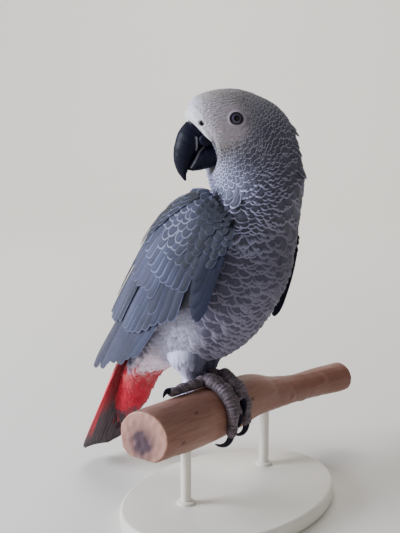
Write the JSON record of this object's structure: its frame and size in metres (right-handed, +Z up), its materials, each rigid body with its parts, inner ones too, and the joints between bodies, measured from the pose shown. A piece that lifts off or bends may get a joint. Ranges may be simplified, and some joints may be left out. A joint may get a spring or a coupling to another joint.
{
  "type": "grey parrot",
  "caption": "Life-size grey parrot with a red tail, still and looking back over its shoulder, on a short cut perch held by a plain oval display stand.",
  "frame": {"origin": "centre of the display base's underside, on the floor, in the plane of symmetry of the bird's body", "axes": "+Z up; the bird's body heads along -Y, so its left side is +X; the perch lies along X; the head is turned far over the right shoulder"},
  "size_m": [0.2415, 0.1965, 0.2831],
  "materials": {
    "plumage": "soft grey feathers with pale edges",
    "wing_plumage": "smooth slate grey feathers, darker in front",
    "tail_plumage": "red feathers with dark maroon ends",
    "bare_skin": "pale grey bare skin",
    "scaly_skin": "matt grey scales with paler edges",
    "horn": "black horn with a soft gloss",
    "eye": "wet, grey iris and black pupil",
    "perch_wood": "smooth barkless branch wood with small knots",
    "stand_paint": "satin cream paint"
  },
  "bodies": {
    "root": {"head": "plumage", "neck": "plumage", "trunk": "plumage", "thigh_left": "plumage", "thigh_right": "plumage", "wing_left": "wing_plumage", "wing_right": "wing_plumage", "tail": "tail_plumage", "cere": "bare_skin", "foot_left": "scaly_skin", "foot_right": "scaly_skin", "upper_bill": "horn", "lower_bill": "horn", "claw_left_front_outer": "horn", "claw_left_front_inner": "horn", "claw_left_back_outer": "horn", "claw_left_back_inner": "horn", "claw_right_front_outer": "horn", "claw_right_front_inner": "horn", "claw_right_back_outer": "horn", "claw_right_back_inner": "horn", "eye_left": "eye", "eye_right": "eye", "perch": "perch_wood", "stand_base": "stand_paint", "stand_rod_1": "stand_paint", "stand_rod_2": "stand_paint"}
  },
  "joints": []
}
